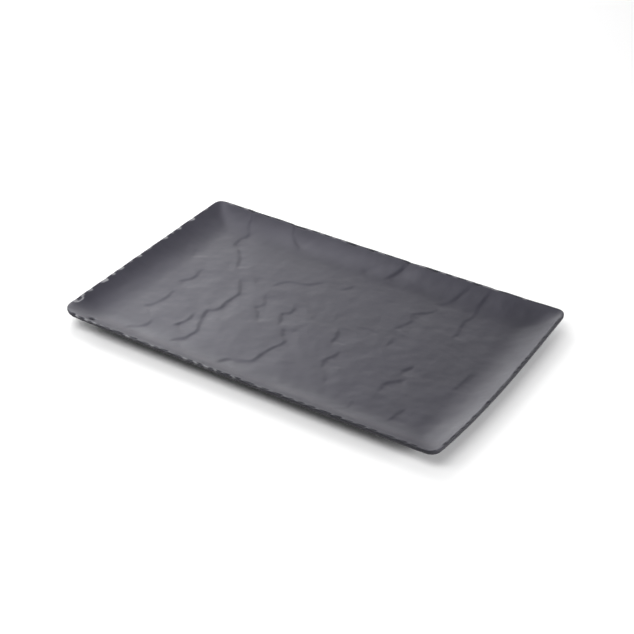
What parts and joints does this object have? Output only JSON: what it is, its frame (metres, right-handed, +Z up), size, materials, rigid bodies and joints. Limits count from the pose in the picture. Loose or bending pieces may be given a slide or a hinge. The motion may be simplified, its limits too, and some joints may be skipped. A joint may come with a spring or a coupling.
{
  "type": "rectangular plate",
  "caption": "Rectangular slate-look serving plate with a curved-up knapped rim, a relief floor and stick-on anti-slip feet.",
  "frame": {"origin": "centre of the plate on the surface that it stands on, at the feet's lower faces", "axes": "+X along the long side, +Y along the short side to the rear, +Z up out of the plate"},
  "size_m": [0.3, 0.19, 0.0142],
  "materials": {
    "slate_body": "satin matt, slate relief",
    "foot_rubber": "matt moulded rubber",
    "adhesive": "pale double-sided film"
  },
  "bodies": {
    "root": {"plate_body": "slate_body", "foot_front_left": "foot_rubber", "foot_front_right": "foot_rubber", "foot_rear_left": "foot_rubber", "foot_rear_right": "foot_rubber", "adhesive_front_left": "adhesive", "adhesive_front_right": "adhesive", "adhesive_rear_left": "adhesive", "adhesive_rear_right": "adhesive"}
  },
  "joints": []
}
